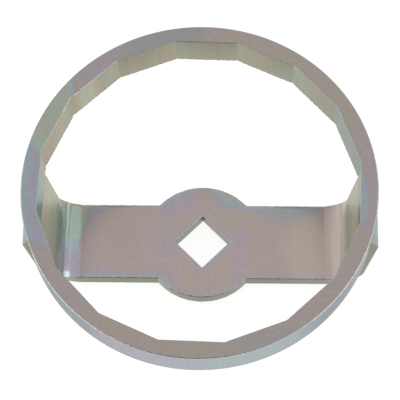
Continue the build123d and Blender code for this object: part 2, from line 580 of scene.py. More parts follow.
# %% Patches on the strap
STRAP_PATCHES = (  # along, across, reach along, reach across, strength
    (-35, 14, 6, 3.5, 0.26),
    (10.5, 17, 6.5, 5, 0.60),
    (17, 14, 4, 2.5, 0.30),
    (28, 12.5, 9.5, 4.5, 0.42),
    (24, 7.5, 1.6, 3, 0.14),
    (-9, 15, 9, 6, 0.16),
    (-13, 0, 6, 13, 0.12),
    (-37, 2, 5, 10, 0.12),
    (-14, -14, 12, 5, 0.10),
    (12, -4, 4, 11, 0.12),
    (-32, -11, 12, 4, 0.10),
)
STRAP_MILK = ((29, 11, 9, 4, 0.75), (10, 16, 6, 5, 0.5), (50, 0, 2, 20, 0.3))
# painted light and shade on the strap: its flat towards each bend, the right bend and the legs are made
# lighter, the left bend lighter in front and darker behind
STRAP_PAINTED_LIGHT = (
    (36, -2, 9, 16, 0.14),
    (-37, -4, 6, 16, 0.06),
    (66, 0, 12, 16, 0.08),
    (-66, 0, 12, 16, 0.10),
    (51.5, 0, 2.4, 20, 0.38),
    (46.3, 0, 3.2, 20, 0.24),
    (-50.5, 8, 2.2, 9, -0.22),
    (-52, -9, 3, 5, 0.20),
    # a painted glint on the left bend's front corner
    (-46.6, -12.2, 1.6, 1.3, 1.2),
)
STRAP_RUBBED = 0.45
print("patches of film on the strap:", len(STRAP_PATCHES))

# %% The strap's film
STRAP_FILM = 0.06  # on the flat, between the patches
WALL_FILM, WALL_BANDS = 0.90, 0.04
LEFT_LEG_FILM, RIGHT_LEG_FILM = 0.81, 0.77
LEFT_LEG_FROM, RIGHT_LEG_FROM = (53 * MM, 60 * MM), (49.3 * MM, 49.9 * MM)  # where a leg's film sets in
SOONER_IN_FRONT = 5 * MM  # the left leg's sets in sooner towards the front
WIDE_BANDS, FINE_BANDS = 0.03, 0.02  # on the legs
LEFT_TEAL = 0.60  # film on the left bend, towards the back
TEAL_IN_FRONT = 0.42  # how much of it is left towards the front, as a share
TEAL_BORDER, BORDER_SLANT = -42.0 * MM, 3.2 * MM  # along, at the front, and how far it moves in at the back


def strap_film(along, across, cut):
    """How thick the film is at a place in the blank.

    It is thin on the flat and thick on the legs, in bands. On the left bend it turns teal at a slanted
    border, and thins again towards the front. Each change from one to the next is a soft_step.
    """
    sooner = SOONER_IN_FRONT * (1 - soft_step(across, -9 * MM, 2 * MM))
    on_left = soft_step(-along + sooner, *LEFT_LEG_FROM)
    on_right = soft_step(along, *RIGHT_LEG_FROM)
    bands = WIDE_BANDS * ripple(along, (2.5 * MM, 12 * MM), 31)
    bands = bands + FINE_BANDS * ripple(along + 0.1 * across, (1 * MM, 3 * MM), 32)
    border = TEAL_BORDER + BORDER_SLANT * soft_step(across, -3 * MM, 13 * MM)
    teal = LEFT_TEAL * (1 - soft_step(along, border - 1.2 * MM, border + 1.8 * MM)) * (1 - on_left)
    teal *= TEAL_IN_FRONT + (1 - TEAL_IN_FRONT) * soft_step(across, -7 * MM, 2 * MM)
    face = STRAP_FILM + film_patches(along, across, STRAP_PATCHES) + teal
    face += on_left * (LEFT_LEG_FILM + bands)
    face += on_right * (RIGHT_LEG_FILM + bands)
    wall = WALL_FILM + WALL_BANDS * ripple(along, (2 * MM, 9 * MM), 33)
    return face * (1 - cut) + wall * cut


def strap_finish(along, across, cut):
    """What the strap's material reads at a place in the blank, faces and cut walls alike."""
    return {
        "cut": cut,
        "film": strap_film(along, across, cut),
        "milk": film_patches(along, across, STRAP_MILK),
        "pale": film_patches(along, across, STRAP_PAINTED_LIGHT),
        "rubbed": STRAP_RUBBED,
    }


print("legs carry a film of about", LEFT_LEG_FILM, "and", RIGHT_LEG_FILM)

# %% The hub's outline
SIDE_POINTS, ROOT_POINTS, HUB_POINTS = 33, 7, 60  # on the straight run, the root's arc and the hub's arc


def back_outline():
    """Points and outward directions of the hub panel's back edge, from the right seam to the left one.

    Half of it is a straight run, the arc of the rounded root, and the hub's arc up to the middle. The other
    half is its mirror image.
    """
    root_centre = np.array([hub_root, half_width + root_radius])
    straight = np.linspace(SEAM, hub_root, SIDE_POINTS)[:-1]
    root_end = np.arctan2(-root_centre[1], -root_centre[0])
    root_angle = np.linspace(-np.pi / 2, root_end, ROOT_POINTS)[:-1]
    hub_angle = np.linspace(root_end + np.pi, np.pi / 2, HUB_POINTS)
    root_way = np.stack([np.cos(root_angle), np.sin(root_angle)], 1)
    hub_way = np.stack([np.cos(hub_angle), np.sin(hub_angle)], 1)
    points = np.concatenate([
        np.stack([straight, np.full_like(straight, half_width)], 1),
        root_centre + root_radius * root_way,
        hub_radius * hub_way,
    ])
    ways = np.concatenate([np.tile([0.0, 1.0], (len(straight), 1)), -root_way, hub_way])
    flip = np.array([-1, 1])
    return np.concatenate([points, points[-2::-1] * flip]), np.concatenate([ways, ways[-2::-1] * flip])


back_points, back_ways = back_outline()
print("hub outline has", len(back_points), "points on each side")

# %% The hub panel
NEAR_HOLE, NEAR_OUTLINE = [0, 0.01, 0.03, 0.07], [0.93, 0.97, 0.99, 1]  # the lines lie closer near the edges
HUB_SHARES = np.concatenate([NEAR_HOLE, np.linspace(0.13, 0.87, 17), NEAR_OUTLINE])


def hub_grid(xy, z, cut, rim, wrap):
    """One grid of the hub panel, with what its material reads."""
    points = np.concatenate([xy, np.broadcast_to(z, xy.shape[:-1])[..., None]], -1)
    return {"points": points, "wrap": wrap, "rim": rim, **strap_finish(xy[..., 0], xy[..., 1], cut)}


def hub_wall(xy, depths, shares, wrap):
    """One cut wall of the hub panel, with its worn edges."""
    rim = np.minimum(depths, thickness - depths) * shares
    return hub_grid(xy, strap_top - depths, shares, rim, wrap)


def hub_grids():
    """The grids round the hub: upper and lower face, front and back wall, and the wall of the square hole.

    A face's lines run from the hole's edge to the outline: point = hole point + share * (outline point - hole
    point). The hole's point in a direction is that direction divided by |x| + |y|, times the distance of the
    hole's corners.
    """
    flip = np.array([1, -1])
    seam_y = face_lines(np.array([SEAM, -SEAM]))
    right_seam = np.stack([np.full(ACROSS_STEPS + 1, SEAM), seam_y[0]], 1)
    left_seam = np.stack([np.full(ACROSS_STEPS + 1, -SEAM), seam_y[1, ::-1]], 1)
    front_points, front_ways = back_points[::-1] * flip, back_ways[::-1] * flip
    back_edge = back_points - back_ways * edge_wear(back_points[:, 0], 1)[:, None]
    front_edge = front_points - front_ways * edge_wear(front_points[:, 0], -1)[:, None]
    outer = np.concatenate([right_seam[:-1], back_edge[:-1], left_seam[:-1], front_edge[:-1]])

    even_y = np.linspace(-half_width, half_width, ACROSS_STEPS + 1)
    even_right = np.stack([np.full_like(even_y, SEAM), even_y], 1)
    aims = np.concatenate([even_right[:-1], back_points[:-1], -even_right[:-1], front_points[:-1]])
    hole_ways = aims / abs(aims).sum(1, keepdims=True)
    inner = hole_ways * (hole_corner + np.sqrt(2) * HOLE_WEAR)
    face = inner + HUB_SHARES[:, None, None] * (outer - inner)

    rim = outline_distance(face[..., 0], face[..., 1])
    grids = [hub_grid(face, level, 0, rim, (False, True)) for level in (strap_top, strap_top - thickness)]
    for points, ways, side in ((back_points, back_ways, 1), (front_points, front_ways, -1)):
        insets, depths, shares = edge_profile(edge_wear(points[:, 0], side))
        wall = points[:, None] - ways[:, None] * insets[..., None]
        grids.append(hub_wall(wall, depths, shares, (False, False)))
    insets, depths, shares = edge_profile(np.full(len(hole_ways), HOLE_WEAR))
    wall = hole_ways[:, None] * (hole_corner + np.sqrt(2) * insets[..., None])
    grids.append(hub_wall(wall, depths, shares, (True, False)))
    return grids


print("hub panel has", len(HUB_SHARES), "lines from the hole to the outline")

# %% The arms and legs
ARM_STATIONS = np.concatenate([  # along the blank: the arm's flat, its bend and its leg
    np.linspace(SEAM, flat_end, 55)[:-1],
    np.linspace(flat_end, leg_start, 45)[:-1],
    np.linspace(leg_start, leg_end(np.array(0.0)), 90),
])
RIGHT_BEND_PRESS = 0.55  # how strongly the press marked the right bend, as a share of the marks on the legs


def arm_grid(along, across, depth, cut, wrap):
    """One grid of an arm, bent from the blank, with what its material reads."""
    on_face = outline_distance(along, across)
    in_wall = np.minimum(depth, thickness - depth)
    on_right_bend = RIGHT_BEND_PRESS * soft_step(along, flat_end - 1 * MM, flat_end + 4 * MM)
    on_legs = soft_step(abs(along), flat_end + 10 * MM, leg_start + 3 * MM)
    return {
        "points": bend(along, across, depth),
        "blank": np.stack([along, across, strap_top - depth], -1),
        "wrap": wrap,
        "rim": on_face * (1 - cut) + in_wall * cut,
        "pressed": np.maximum(on_right_bend, on_legs) * (1 - cut),
        **strap_finish(along, across, cut),
    }


def arm_grids(side):
    """The grids of the right (side 1) or left (side -1) arm: a closed section carried along it, and its end.

    The section is a flat rectangle with worn edges. In the leg, each of its points goes the same share of its
    own way to the leg's end, so that the section tilts from square across the plate to the slanted end.
    """
    station = ARM_STATIONS[:, None]
    face = face_lines(side * ARM_STATIONS)
    front_inset, front_depth, share = edge_profile(edge_wear(side * ARM_STATIONS, -1))
    back_inset, back_depth, _ = edge_profile(edge_wear(side * ARM_STATIONS, 1))
    inside = face[:, 1:-1]
    across = np.concatenate(
        [inside, half_width - back_inset, inside[:, ::-1], front_inset[:, ::-1] - half_width], 1
    )
    depth = np.concatenate([0 * inside, back_depth, 0 * inside + thickness, front_depth[:, ::-1]], 1)
    cut = np.concatenate([0 * inside, share, 0 * inside, share[:, ::-1]], 1)
    leg_share = np.clip((station - leg_start) / (leg_end(0.0) - leg_start), 0, 1)
    along = np.where(leg_share > 0, leg_start + leg_share * (leg_end(depth) - leg_start), station)
    tube = arm_grid(side * along, across, depth, cut, (False, True))

    steps = np.linspace(0, 1, ACROSS_STEPS + 1)
    front_side, back_side = front_inset[-1] - half_width, half_width - back_inset[-1]
    end_across = front_side[:, None] + (back_side - front_side)[:, None] * steps
    end_depth = front_depth[-1][:, None] + (back_depth[-1] - front_depth[-1])[:, None] * steps
    end = arm_grid(side * leg_end(end_depth), end_across, end_depth, np.ones_like(end_depth), (False, False))
    return [tube, end]


bridge_strap = make_piece("plated_bridge_strap", hub_grids() + arm_grids(1) + arm_grids(-1))

# %% [markdown]
# ## The weld beads
#
# Each bead fills the groove between a leg and the ring's underside. The welder laid it in one pass along the
# leg, and the pool froze in curved ripples about a millimetre apart. A row of overlapping discs would look
# mechanical. Instead the bead's section is carried along the groove, and its outer face swells and sinks
# with the ripples, which bow in the direction of travel and are never quite even.

# %% Bead section and ripples
BEAD_SECTIONS = 190  # across the strap
CROWN_STEPS, LAND_STEPS, SIDE_STEPS = 18, 6, 8  # on the outer face, under the ring and on the bevel
BEAD_CROWN = 0.32 * MM
RIPPLE_PITCH = 1.3 * MM
RIPPLE_HEIGHT = 0.11 * MM
RIPPLE_BOW = 1.1 * MM  # how far a ripple's ends lie behind its middle
SWAY = 0.25  # how unevenly the ripples follow each other, in radians
END_ROUND = 1.1 * MM  # length over which the bead's ends round off
END_SHARE = 0.8  # how large the section still is at the very end
BEAD_FILM, BEAD_CLOUDS, THINNER_ENDS = 0.72, 0.16, 0.12


def bead_grid(side):
    """The right (side 1) or left (side -1) bead as one grid, a closed section carried across the strap.

    The outer face runs from the toe on the leg to the ring's rim, and bulges by crown * sin(pi v)^0.7 at its
    share v. The ripples are the wave |sin(phase)|, round on top with sharp grooves between them. The phase
    runs on by pi for each ripple along the groove, and bows with v. The last sections shrink to a point,
    which closes the end.
    """
    seed = 50 + side
    across = np.linspace(-half_width, half_width, BEAD_SECTIONS)[:, None]
    v = np.linspace(0, 1, CROWN_STEPS)
    rim = np.sqrt((ring_radius - rim_radius) ** 2 - across**2)
    sway = SWAY * ripple(across, (4 * MM, 12 * MM), seed)
    phase = np.pi * (across + RIPPLE_BOW * (2 * v - 1) ** 2) / RIPPLE_PITCH + sway
    heights = 0.75 + 0.25 * ripple(across, (2 * MM, 7 * MM), seed + 2)
    groove = RIPPLE_HEIGHT * (1 - abs(np.sin(phase))) * heights
    swell = 1 + 0.2 * ripple(across, (3 * MM, 14 * MM), seed + 4)
    bulge = (BEAD_CROWN * swell - groove) * np.sin(np.pi * v) ** 0.7

    toe = np.array([toe_reach, groove_floor])
    run_x, run_z = rim - toe[0], ring_bottom - toe[1]
    length = np.hypot(run_x, run_z)
    crown_x = toe[0] + run_x * v + bulge * run_z / length
    crown_z = toe[1] + run_z * v - bulge * run_x / length

    land = np.linspace(0, 1, LAND_STEPS)[1:-1]
    land_x, land_z = rim + (groove_root - rim) * land, np.full_like(across * land, ring_bottom)
    down = np.linspace(0, 1, SIDE_STEPS)[:-1]
    side_x = groove_root + (toe[0] - groove_root) * down + 0 * across
    side_z = ring_bottom + (toe[1] - ring_bottom) * down + 0 * across
    x = np.minimum(np.concatenate([crown_x, land_x, side_x], 1), toe_reach)
    z = np.concatenate([crown_z, land_z, side_z], 1)

    into_end = np.clip((abs(across) - half_width + END_ROUND) / END_ROUND, 0, 1)
    keep = END_SHARE + (1 - END_SHARE) * np.sqrt(1 - into_end**2)
    hold_x, hold_z = (groove_root + toe[0]) / 2, (ring_bottom + toe[1]) / 2
    x, z = hold_x + (x - hold_x) * keep, hold_z + (z - hold_z) * keep
    shrink = np.array([0, 0.55, 1])[:, None]
    first_x, first_z = hold_x + (x[:1] - hold_x) * shrink, hold_z + (z[:1] - hold_z) * shrink
    last_x, last_z = hold_x + (x[-1:] - hold_x) * shrink[::-1], hold_z + (z[-1:] - hold_z) * shrink[::-1]
    x, z = np.concatenate([first_x[:-1], x, last_x[1:]]), np.concatenate([first_z[:-1], z, last_z[1:]])
    y = np.concatenate([across[:1].repeat(2, 0), across, across[-1:].repeat(2, 0)]) + 0 * x

    clouds = BEAD_CLOUDS * ripple(y, (2 * MM, 9 * MM), seed + 6)
    return {
        "points": np.stack([side * x, y, z], -1),
        "wrap": (False, True),
        "rim": np.minimum(z - groove_floor, ring_bottom - z),
        "film": BEAD_FILM + clouds - THINNER_ENDS * soft_step(abs(y), 4 * MM, 12 * MM),
    }


weld_bead_right = make_piece("plated_weld_bead_right", [bead_grid(1)])
weld_bead_left = make_piece("plated_weld_bead_left", [bead_grid(-1)])

# %% [markdown]
# ## The finish, as shader nodes
#
# The zinc's colour, its grain, the cutting lines and the worn edges appear on every piece, so each of them
# is a node group, built once and placed in each material with its own values. They could be copied into each
# material, but then a change has to be made three times. The groups put out only colours and masks. The
# shader itself stays in the material.


# %% Placing nodes
def place(tree, kind, inputs=None, **settings):
    """A shader node with these settings. An input is a number, a colour or another node's output."""
    node = tree.nodes.new("ShaderNode" + kind)
    for name, value in settings.items():
        setattr(node, name, value)
    for name, value in (inputs or {}).items():
        if isinstance(value, bpy.types.NodeSocket):
            tree.links.new(value, node.inputs[name])
        else:
            node.inputs[name].default_value = value
    return node


def calc(tree, operation, *values, clamp=False):
    """The result of a Math node on numbers or outputs."""
    return place(tree, "Math", dict(enumerate(values)), operation=operation, use_clamp=clamp).outputs[0]


def fade(tree, value, start, end, low=0.0, high=1.0):
    """A value stretched from start..end to low..high with soft ends."""
    inputs = {"Value": value, "From Min": start, "From Max": end, "To Min": low, "To Max": high}
    return place(tree, "MapRange", inputs, interpolation_type="SMOOTHSTEP").outputs["Result"]


def spots(tree, where, per_mm, detail=2.0):
    """Soft random spots, 0 to 1. Per mm is how many there are along x, y and z."""
    scaled = place(tree, "VectorMath", {0: where, 1: [n / MM for n in per_mm]}, operation="MULTIPLY")
    noise = {"Vector": scaled.outputs[0], "Scale": 1.0, "Detail": detail, "Roughness": 0.55}
    return place(tree, "TexNoise", noise).outputs["Fac"]


def blend(tree, amount, first, second):
    """Two numbers mixed by an amount."""
    return place(tree, "Mix", {0: amount, 2: first, 3: second}).outputs[0]


def blend_colour(tree, amount, first, second, mode="MIX"):
    """Two colours mixed by an amount."""
    node = place(tree, "Mix", {0: amount, 6: first, 7: second}, data_type="RGBA", blend_type=mode)
    return node.outputs[2]


def screen(red, green, blue):
    """A colour as a screen shows it, 0 to 255, in the linear numbers that shaders use."""
    share = np.array([red, green, blue]) / 255
    linear = np.where(share <= 0.04045, share / 12.92, ((share + 0.055) / 1.055) ** 2.4)
    return (*linear.tolist(), 1.0)


print("middle grey on screen is", round(screen(128, 128, 128)[0], 3), "in linear numbers")


# %% Making and placing node groups
def new_group(name, inputs, outputs):
    """An empty node group, with its inputs as (name, kind) and outputs as (name, kind)."""
    group = bpy.data.node_groups.new(name, "ShaderNodeTree")
    for label, kind in inputs:
        group.interface.new_socket(label, in_out="INPUT", socket_type="NodeSocket" + kind)
    for label, kind in outputs:
        group.interface.new_socket(label, in_out="OUTPUT", socket_type="NodeSocket" + kind)
    return group, group.nodes.new("NodeGroupInput").outputs, group.nodes.new("NodeGroupOutput").inputs


def use_group(tree, group, **inputs):
    """A group placed in a material, with its inputs by name. An underscore stands for a space."""
    node = tree.nodes.new("ShaderNodeGroup")
    node.node_tree = group
    for name, value in inputs.items():
        socket = node.inputs[name.replace("_", " ")]
        if isinstance(value, bpy.types.NodeSocket):
            tree.links.new(value, socket)
        else:
            socket.default_value = value
    return node.outputs


print("node groups before the first:", len(bpy.data.node_groups))

# %% [markdown]
# ### Film colour
#
# The colours of a thin film follow a fixed order as it gets thicker, so one colour ramp holds them all. The
# film is thicker along a cut edge, where the plating current was strongest, which gives the narrow bands of
# lilac, blue and khaki that follow the edges. It is base + rise * exp(-distance from the edge / reach), plus
# clouds. Where the film is milky, a plain grey covers its colour.

# %% Film colour group
FILM_COLOURS = (  # film thickness, colour
    (0.00, (153, 144, 134)),
    (0.12, (156, 143, 141)),
    (0.26, (151, 141, 150)),
    (0.38, (147, 148, 159)),
    (0.49, (141, 154, 161)),
    (0.60, (142, 159, 155)),
    (0.74, (154, 161, 148)),
    (0.88, (160, 157, 138)),
    (1.00, (165, 152, 136)),
)
MILKY_GREY = screen(140, 140, 141)
CLOUDS, WISPS = (0.13, 0.13, 0.13), (0.7, 0.7, 0.7)  # spots per mm along x, y and z
WISP_SHARE = 0.35  # how strong the wisps are beside the clouds
FILM_NUMBERS = ("Film", "Milk", "Rim", "Cut", "Rise", "Reach", "Cloud")

film_group, given, result = new_group(
    "zinc film",
    [(label, "Float") for label in FILM_NUMBERS] + [("Place", "Vector")],
    [("Color", "Color")],
)
distance = calc(film_group, "DIVIDE", given["Rim"], given["Reach"])
near_edge = calc(film_group, "EXPONENT", calc(film_group, "MULTIPLY", distance, -1.0))
rise = calc(film_group, "MULTIPLY", given["Rise"], calc(film_group, "SUBTRACT", 1.0, given["Cut"]))
edge_film = calc(film_group, "MULTIPLY", rise, near_edge)
clouds = calc(film_group, "SUBTRACT", spots(film_group, given["Place"], CLOUDS), 0.5)
wisps = calc(film_group, "SUBTRACT", spots(film_group, given["Place"], WISPS, detail=4.0), 0.5)
clouds = calc(film_group, "MULTIPLY_ADD", wisps, WISP_SHARE, clouds)
clouded = calc(film_group, "MULTIPLY_ADD", clouds, given["Cloud"], given["Film"])
ramp = place(film_group, "ValToRGB", {"Fac": calc(film_group, "ADD", clouded, edge_film)})
stops = ramp.color_ramp.elements
stops[1].position = 1.0
stops[0].color, stops[1].color = screen(*FILM_COLOURS[0][1]), screen(*FILM_COLOURS[-1][1])
for film, colour in FILM_COLOURS[1:-1]:
    stops.new(film).color = screen(*colour)
milky = blend_colour(film_group, given["Milk"], ramp.outputs["Color"], MILKY_GREY)
film_group.links.new(milky, result["Color"])
print("film ramp has", len(stops), "colours")

# %% [markdown]
# ### Grain and cutting lines
#
# Rolled plate has a fine grain under the zinc, and its cut walls have fine lines straight through the plate,
# where the cutting jet wandered. Both are the same noise texture: for the lines it is squeezed along the wall
# and stretched through it. The masks move the colour, the roughness and the bump by a little. A third mask
# picks out pale specks, which lie in clusters.

# %% Grain group
COARSE_GRAIN, FINE_GRAIN = (0.9, 0.9, 0.9), (2.6, 2.6, 2.6)  # spots per mm along x, y and z
CUTTING_LINES = (1.7, 1.7, 0.07)
SPECKS, SPECK_CLUSTERS = (2.1, 2.1, 2.1), (0.05, 0.05, 0.05)
FINE_ON_FACE, FINE_ON_WALL = 0.5, 0.25  # how strong the fine grain is beside the coarse one and the lines

grain_group, given, result = new_group(
    "plated grain",
    [("Place", "Vector"), ("Cut", "Float")],
    [("Height", "Float"), ("Shade", "Float"), ("Specks", "Float")],
)
coarse = spots(grain_group, given["Place"], COARSE_GRAIN, detail=3.0)
fine = spots(grain_group, given["Place"], FINE_GRAIN, detail=1.0)
lines = spots(grain_group, given["Place"], CUTTING_LINES, detail=3.0)
face_grain = calc(grain_group, "MULTIPLY_ADD", fine, FINE_ON_FACE, coarse)
wall_grain = calc(grain_group, "MULTIPLY_ADD", fine, FINE_ON_WALL, lines)
grain_group.links.new(blend(grain_group, given["Cut"], face_grain, wall_grain), result["Height"])
grain_group.links.new(blend(grain_group, given["Cut"], coarse, lines), result["Shade"])

on_face = calc(grain_group, "SUBTRACT", 1.0, given["Cut"])
specks = fade(grain_group, spots(grain_group, given["Place"], SPECKS, detail=1.0), 0.62, 0.76)
clusters = spots(grain_group, given["Place"], SPECK_CLUSTERS, detail=1.0)
clusters = fade(grain_group, clusters, 0.4, 0.62, 0.2, 1.0)
specks = calc(grain_group, "MULTIPLY", specks, clusters)
grain_group.links.new(calc(grain_group, "MULTIPLY", specks, on_face), result["Specks"])
print("grain group has", len(grain_group.nodes), "nodes")

# %% [markdown]
# ### Worn edges
#
# Handling polishes the sharp edges and rubs the film off them in places, down to bright bare zinc. The share
# of cut wall is 0 on a face, 1 on a wall and in between only on the rounded edge, so 4 * share * (1 - share)
# picks out the edge itself. A noise breaks it into longer and shorter glints. The mask makes the edge glossy
# all round, and bare only where the number rubbed says so.

# %% Worn edge group
GLINTS = (0.9, 0.9, 0.9)  # per mm along x, y and z
FAINTEST_GLINT = 0.45

edge_group, given, result = new_group(
    "worn edge",
    [("Place", "Vector"), ("Cut", "Float")],
    [("Edge", "Float")],
)
on_face = calc(edge_group, "SUBTRACT", 1.0, given["Cut"])
on_both = calc(edge_group, "MULTIPLY", given["Cut"], on_face)
on_edge = calc(edge_group, "MULTIPLY", on_both, 4.0, clamp=True)
broken = spots(edge_group, given["Place"], GLINTS, detail=3.0)
broken = fade(edge_group, broken, 0.40, 0.60, FAINTEST_GLINT, 1.0)
edge_group.links.new(calc(edge_group, "MULTIPLY", on_edge, broken), result["Edge"])
print("edge group has", len(edge_group.nodes), "nodes")

# %% [markdown]
# ### The plated metal
#
# Zinc with its film is a metal whose reflection is tinted, so it is a Principled shader with a high Metallic
# and the film's colour as Base Color. A coat layer over grey metal could tint it too, but would not give each
# thickness its own colour. Ring, strap and weld share the recipe, with their own grain, clouds and gloss.
# On the legs and the right bend, the press left lines across the strap, and the metal is duller and rougher.

# %% Plated metal
BARE_ZINC, BARE_SHARE = screen(224, 226, 225), 0.85  # and how much of it shows on an edge that is rubbed bare
PALE_SPECK = screen(190, 182, 170)
METAL_SHARE = 0.88  # the rest scatters light, as the slightly milky plating does
GRAIN_ROUGHNESS = 0.06  # how much the grain moves the roughness
EDGE_ROUGHNESS = 0.12
PRESS_LINES = (0.9, 0.04, 0.9)  # per mm along x, y and z
PRESSED_DULLER, PRESSED_ROUGHER = 0.30, 0.18
PRESSED_LIGHT = 0.90  # how much light the darkest press line still gives back
PRESSED_DEPTH = 0.8  # of the press lines, beside the grain's 1


def plated_metal(name, face_tint_and_light, wall_tint_and_light, grazing, rise, reach, cloud, rough, bump, specks, shade):
    """The plated finish of one piece.

    The face tint and light multiplies the film's colour on faces: a tint, and on the strap painted light that
    makes the faces lighter. The wall tint and light multiplies it on cut walls: painted light that makes the
    ring's walls lighter, and painted shade that makes the strap's walls darker. Grazing dims the reflection
    at a grazing angle. Rise and reach (mm) shape the film along the edges, cloud is how uneven it is, rough
    the mean roughness, bump the depth of the grain (mm), specks how strongly pale specks show, and shade how
    much the grain moves the brightness.
    """
    material = bpy.data.materials.new(name)
    material.use_nodes = True
    tree = material.node_tree
    shader = tree.nodes["Principled BSDF"]
    reads = {key: place(tree, "Attribute", attribute_name=key).outputs["Fac"] for key in NUMBERS}
    where = place(tree, "Attribute", attribute_name="blank").outputs["Vector"]
    cut, pressed = reads["cut"], reads["pressed"]

    film = use_group(
        tree, film_group, Place=where, Film=reads["film"], Milk=reads["milk"], Rim=reads["rim"], Cut=cut,
        Rise=rise, Reach=reach * MM, Cloud=cloud,
    )
    grain = use_group(tree, grain_group, Place=where, Cut=cut)
    on_edge = use_group(tree, edge_group, Place=where, Cut=cut)["Edge"]
    bare = calc(tree, "MULTIPLY", on_edge, reads["rubbed"])
    press_lines = calc(tree, "MULTIPLY", spots(tree, where, PRESS_LINES, detail=4.0), pressed)

    light = fade(tree, grain["Shade"], 0.25, 0.75, 1 - shade, 1 + shade)
    # pale adds painted light and shade to the colour's brightness
    light = calc(tree, "MULTIPLY", light, calc(tree, "ADD", reads["pale"], 1.0))
    light = calc(tree, "MULTIPLY", light, fade(tree, press_lines, 0.35, 0.7, 1.0, PRESSED_LIGHT))
    grey = place(tree, "CombineColor", {0: light, 1: light, 2: light}).outputs[0]
    colour = blend_colour(tree, 1.0, film["Color"], grey, "MULTIPLY")
    # painted light and shade: faces and cut walls of one metal get their own brightness factors, besides a
    # tint
    tint = blend_colour(tree, cut, (*face_tint_and_light, 1.0), (*wall_tint_and_light, 1.0))
    colour = blend_colour(tree, 1.0, colour, tint, "MULTIPLY")
    colour = blend_colour(tree, calc(tree, "MULTIPLY", grain["Specks"], specks), colour, PALE_SPECK)
    colour = blend_colour(tree, calc(tree, "MULTIPLY", bare, BARE_SHARE), colour, BARE_ZINC)
    metal = calc(tree, "MULTIPLY_ADD", pressed, -PRESSED_DULLER, METAL_SHARE)
    tree.links.new(colour, shader.inputs["Base Color"])
    tree.links.new(metal, shader.inputs["Metallic"])
    shader.inputs["Specular Tint"].default_value = (grazing, grazing, grazing, 1.0)

    roughness = calc(tree, "MULTIPLY_ADD", grain["Shade"], GRAIN_ROUGHNESS, rough - GRAIN_ROUGHNESS / 2)
    roughness = calc(tree, "MULTIPLY_ADD", pressed, PRESSED_ROUGHER, roughness)
    roughness = blend(tree, on_edge, roughness, EDGE_ROUGHNESS)
    height = calc(tree, "MULTIPLY_ADD", press_lines, PRESSED_DEPTH, grain["Height"])
    relief = place(tree, "Bump", {"Height": height, "Distance": bump * MM, "Strength": 1.0})
    tree.links.new(roughness, shader.inputs["Roughness"])
    tree.links.new(relief.outputs["Normal"], shader.inputs["Normal"])
    return material


print("plated metal reads:", ", ".join(NUMBERS))

# %% The three finishes
WELD_TINT = (1.05, 1.03, 0.99)
# painted light and shade: the strap's faces are made lighter, the ring's cut walls lighter and the strap's
# cut walls darker
finishes = {
    "ring_plate": plated_metal(
        "zinc plated ring", face_tint_and_light=(1.06, 1.085, 1.07), wall_tint_and_light=(1.23, 1.24, 1.24), grazing=0.60,
        rise=0.12, reach=0.40, cloud=0.22, rough=0.30, bump=0.006, specks=0.20, shade=0.05,
    ),
    "strap_plate": plated_metal(
        "zinc plated strap", face_tint_and_light=(1.22, 1.23, 1.215), wall_tint_and_light=(0.50, 0.53, 0.435), grazing=1.0,
        rise=0.50, reach=0.75, cloud=0.24, rough=0.24, bump=0.004, specks=0.08, shade=0.04,
    ),
    "weld_metal": plated_metal(
        "zinc plated weld", face_tint_and_light=WELD_TINT, wall_tint_and_light=WELD_TINT, grazing=1.0,
        rise=0.10, reach=1.0, cloud=0.6, rough=0.40, bump=0.030, specks=0.2, shade=0.12,
    ),
}
print("finishes:", ", ".join(finishes))

# %% [markdown]
# ## The new surfaces take the nodes' places
#
# Each surface gets the finish of its slot, rides on the root body's empty, and hides the CAD node it stands
# for.

# %% Ride, replace, finish
for piece, node, slot in (
    (socket_ring, "socket_ring", "ring_plate"),
    (bridge_strap, "bridge_strap", "strap_plate"),
    (weld_bead_left, "weld_bead_left", "weld_metal"),
    (weld_bead_right, "weld_bead_right", "weld_metal"),
):
    piece.data.materials.append(finishes[slot])
    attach(piece, "root")
    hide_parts(node)
    print(piece.name, "stands for", node)


# %% [markdown]
# ## Floor and light
#
# Metal shows what it reflects. A plain white room all round makes plated steel look flat, and a few small
# lamps make it look like chrome. Here the room is pale all round, and the floor is a white sheet that gives
# off its own light, which keeps the shadows soft. In front is a dark gap, as where the camera stands in a
# real studio, wide and dark high up, and narrow and paler near the table. Worn edges that face it turn into
# thin dark lines. The side walls glow a little above the table, for the bends to mirror, and the far right
# corner is shaded. A softbox on each side gives the thin bright lines on the edges that face sideways.

# %% Floor
FLOOR_SIZE = 6.0
SHEET_GLOW = 0.90
floor_mesh = bpy.data.meshes.new("pale_floor")
corners = FLOOR_SIZE / 2 * np.array([[-1, -1, 0], [1, -1, 0], [1, 1, 0], [-1, 1, 0]])
floor_mesh.from_pydata(corners + [0, 0, cad_low.z], [], [[0, 1, 2, 3]])
floor = bpy.data.objects.new("pale_floor", floor_mesh)
bpy.context.scene.collection.objects.link(floor)
sheet = bpy.data.materials.new("lit white sheet")
sheet.use_nodes = True
sheet_shader = sheet.node_tree.nodes["Principled BSDF"]
sheet_shader.inputs["Base Color"].default_value = screen(116, 116, 116)
sheet_shader.inputs["Roughness"].default_value = 0.9
sheet_shader.inputs["Specular IOR Level"].default_value = 0.1
sheet_shader.inputs["Emission Color"].default_value = screen(255, 255, 254)
sheet_shader.inputs["Emission Strength"].default_value = SHEET_GLOW
floor.data.materials.append(sheet)
print("floor at", cad_low.z, "m")

# %% Room with a dark gap
ROOM_LIGHT = 0.95
DARK_GAP = 0.02  # how bright the dark gap in front still is
GAP_AZIMUTH = -97  # degrees from +X; straight in front is -90
WIDE_GAP, NARROW_GAP = (42, 28), (26, 12)  # degrees from its middle where it begins, and where it is full
NARROW_SHARE = 0.6  # how dark the narrow part is beside the wide one
GAP_WIDENS = (0.44, 0.56)  # as heights, which are sines of the elevation
GAP_TOP = (88, 79)  # degrees of elevation where it ends, and where it is full

